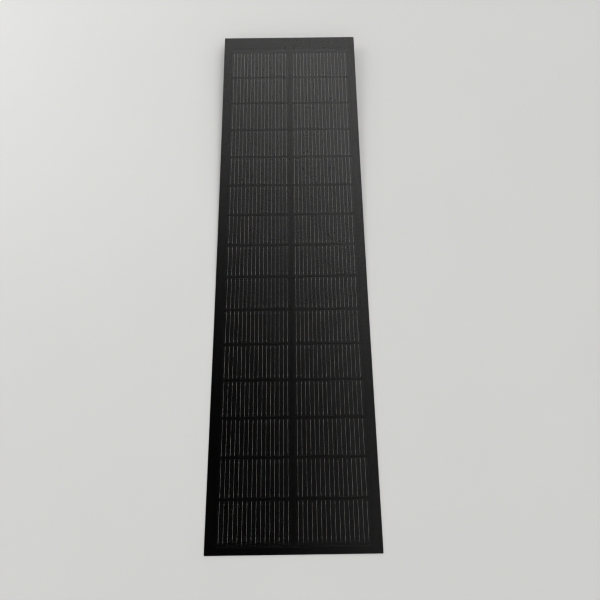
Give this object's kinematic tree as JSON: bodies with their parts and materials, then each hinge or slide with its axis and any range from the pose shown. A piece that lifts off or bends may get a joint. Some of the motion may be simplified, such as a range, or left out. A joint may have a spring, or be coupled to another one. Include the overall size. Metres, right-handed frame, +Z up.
{
  "type": "flexible solar sheet",
  "caption": "Thin bendable photovoltaic laminate with two columns of wired half cells and a lidded junction box with two cable glands on its back.",
  "frame": {"origin": "middle of the sheet's footprint, on the surface it lies on", "axes": "+X across the sheet, +Y along it towards the junction box end, +Z up out of the cell face"},
  "size_m": [0.43, 1.5484, 0.0329],
  "materials": {
    "front_film": "clear fluoropolymer film with a fine matt texture",
    "encapsulant": "clear polymer, cured",
    "cell": "near-black silicon with an anti-reflective coat",
    "wire": "bright tinned copper",
    "back_sheet": "black glass-fibre composite, fine grain",
    "ribbon": "tinned copper foil",
    "mask": "black film",
    "adhesive_pad": "foam tape",
    "box_plastic": "black moulded plastic, fine spark texture",
    "gland_plastic": "black moulded nylon, satin",
    "terminal_brass": "plain brass",
    "screw_steel": "zinc-plated",
    "diode_body": "black epoxy",
    "potting_resin": "black silicone resin",
    "seal_rubber": "silicone rubber"
  },
  "bodies": {
    "bay_1": {"front_film_1": "front_film", "front_encapsulant_1": "encapsulant", "cells_1": "cell", "cell_wires_1": "wire", "rear_encapsulant_1": "encapsulant", "back_sheet_1": "back_sheet", "cross_ribbon": "ribbon", "near_mask_strip": "mask"},
    "bay_2": {"front_film_2": "front_film", "front_encapsulant_2": "encapsulant", "cells_2": "cell", "cell_wires_2": "wire", "rear_encapsulant_2": "encapsulant", "back_sheet_2": "back_sheet"},
    "bay_3": {"front_film_3": "front_film", "front_encapsulant_3": "encapsulant", "cells_3": "cell", "cell_wires_3": "wire", "rear_encapsulant_3": "encapsulant", "back_sheet_3": "back_sheet"},
    "bay_4": {"front_film_4": "front_film", "front_encapsulant_4": "encapsulant", "cells_4": "cell", "cell_wires_4": "wire", "rear_encapsulant_4": "encapsulant", "back_sheet_4": "back_sheet"},
    "bay_5": {"front_film_5": "front_film", "front_encapsulant_5": "encapsulant", "cells_5": "cell", "cell_wires_5": "wire", "rear_encapsulant_5": "encapsulant", "back_sheet_5": "back_sheet", "positive_ribbon": "ribbon", "negative_ribbon": "ribbon", "far_mask_strip": "mask", "box_pad": "adhesive_pad", "box_base": "box_plastic", "terminal_positive": "terminal_brass", "terminal_negative": "terminal_brass", "terminal_screws": "screw_steel", "bypass_diode": "diode_body", "potting": "potting_resin", "lid_seal": "seal_rubber", "gland_seal_left": "seal_rubber", "gland_seal_right": "seal_rubber"},
    "lid": {"box_lid": "box_plastic"},
    "nut_left": {"gland_nut_left": "gland_plastic"},
    "nut_right": {"gland_nut_right": "gland_plastic"}
  },
  "joints": [
    {"name": "flex_line_2", "type": "hinge", "parent": "bay_3", "child": "bay_2", "pos_m": [0, -0.16349, 0.00125], "axis": [-1, 0, 0], "range_deg": [-10, 10], "stiffness_Nm_per_rad": 25},
    {"name": "flex_line_1", "type": "hinge", "parent": "bay_2", "child": "bay_1", "pos_m": [0, -0.45599, 0.00125], "axis": [-1, 0, 0], "range_deg": [-10, 10], "stiffness_Nm_per_rad": 25},
    {"name": "flex_line_3", "type": "hinge", "parent": "bay_3", "child": "bay_4", "pos_m": [0, 0.12897, 0.00584], "axis": [1, 0, 0], "range_deg": [-10, 10], "stiffness_Nm_per_rad": 25},
    {"name": "flex_line_4", "type": "hinge", "parent": "bay_4", "child": "bay_5", "pos_m": [0, 0.42133, 0.01503], "axis": [1, 0, 0], "range_deg": [-10, 10], "stiffness_Nm_per_rad": 25},
    {"name": "lid_pull", "type": "slide", "parent": "bay_5", "child": "lid", "axis": [0, 0.0471, -0.9989], "range_m": [0, 0.03]},
    {"name": "nut_left_turn", "type": "hinge", "parent": "bay_5", "child": "nut_left", "pos_m": [-0.07, 0.73591, 0.0154], "axis": [-1, 0, 0], "continuous": true},
    {"name": "nut_right_turn", "type": "hinge", "parent": "bay_5", "child": "nut_right", "pos_m": [0.07, 0.73591, 0.0154], "axis": [1, 0, 0], "continuous": true}
  ]
}
